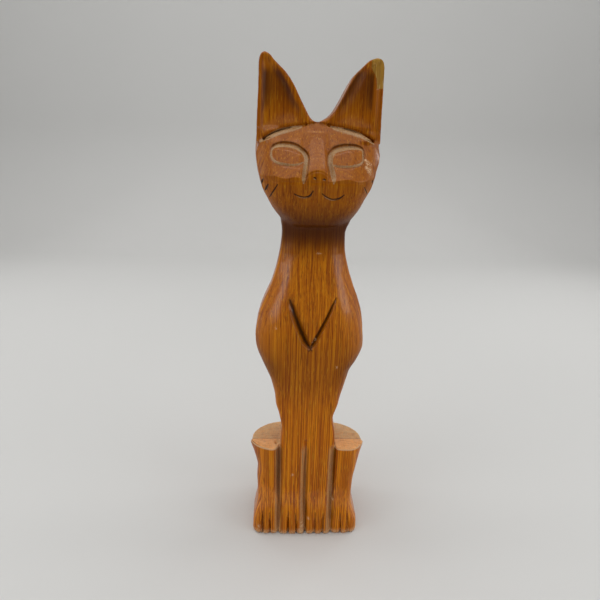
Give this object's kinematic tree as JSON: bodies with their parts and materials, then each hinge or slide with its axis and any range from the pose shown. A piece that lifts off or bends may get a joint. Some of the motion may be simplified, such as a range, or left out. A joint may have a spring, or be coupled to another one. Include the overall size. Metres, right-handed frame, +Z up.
{
  "type": "carved cat figurine",
  "caption": "Tall slim cat sitting upright, carved from a glued-up hardwood blank, with hollowed pointed ears, closed eyes and a V cut into the chest.",
  "frame": {"origin": "under the middle of the base, on the surface that the figure stands on", "axes": "+Z up through the ears, -Y the way the cat faces, +X towards its left ear (the patched one)"},
  "size_m": [0.0658, 0.048, 0.271],
  "materials": {
    "front_wood": "satin varnish over fine straight grain, worn pale at the toes",
    "back_wood": "satin varnish over fine straight grain",
    "patch_wood": "pale olive-tan repair, satin"
  },
  "bodies": {
    "root": {"front_board": "front_wood", "back_board": "back_wood", "ear_tip_patch": "patch_wood"}
  },
  "joints": []
}
